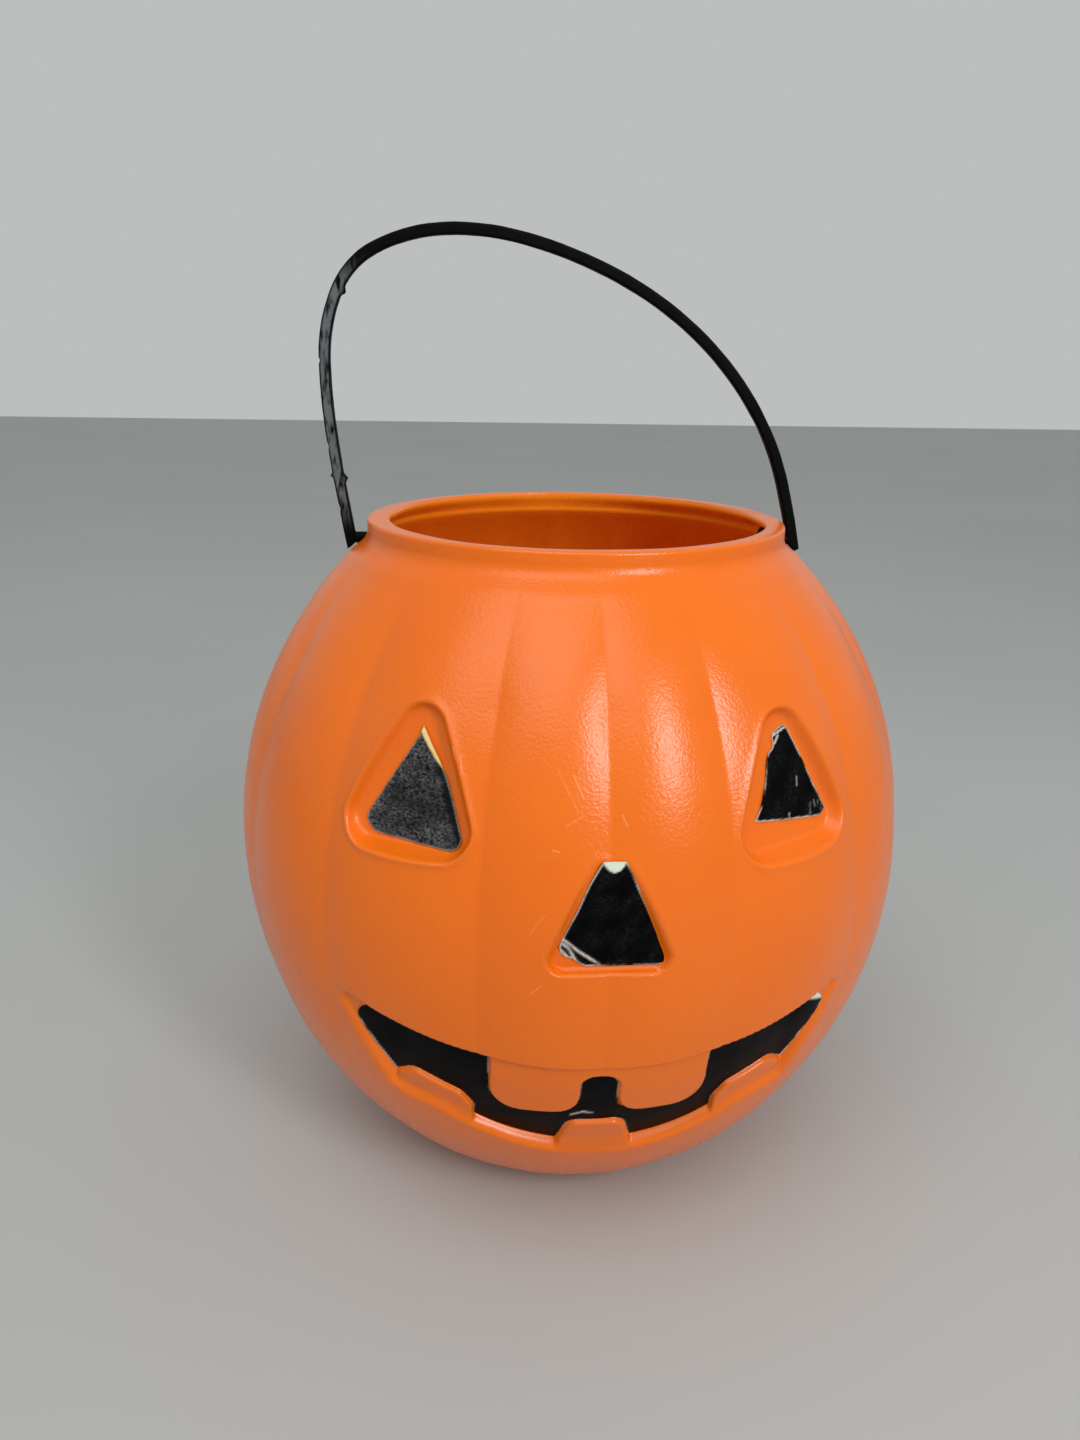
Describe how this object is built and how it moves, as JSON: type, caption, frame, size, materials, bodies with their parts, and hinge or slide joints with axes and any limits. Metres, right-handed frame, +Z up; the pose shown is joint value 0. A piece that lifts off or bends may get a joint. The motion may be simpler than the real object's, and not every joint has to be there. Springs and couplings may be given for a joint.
{
  "type": "pumpkin candy pail",
  "caption": "Round lobed pumpkin pail with an open collar, a recessed jack-o'-lantern face with black decals and a swinging strap handle, for carrying sweets.",
  "frame": {"origin": "centre of the base, on the surface that the pail stands on", "axes": "+Z up through the open collar, the face towards -Y, the handle's hinge line along X"},
  "size_m": [0.2018, 0.202, 0.2741],
  "materials": {
    "orange_plastic": "satin blow-moulded polyethylene with a fine leathery grain",
    "black_strap": "black polyethylene strap with rough flash edges",
    "black_decal": "black die-cut film, slightly crinkled, pale cut edges"
  },
  "bodies": {
    "pail": {"pail_shell": "orange_plastic", "left_eye_decal": "black_decal", "right_eye_decal": "black_decal", "nose_decal": "black_decal", "mouth_decal": "black_decal"},
    "bail": {"handle": "black_strap"}
  },
  "joints": [
    {"name": "handle_swing", "type": "hinge", "parent": "pail", "child": "bail", "pos_m": [0, 0, 0.18901], "axis": [1, 0, 0], "range_deg": [-80, 80]}
  ]
}
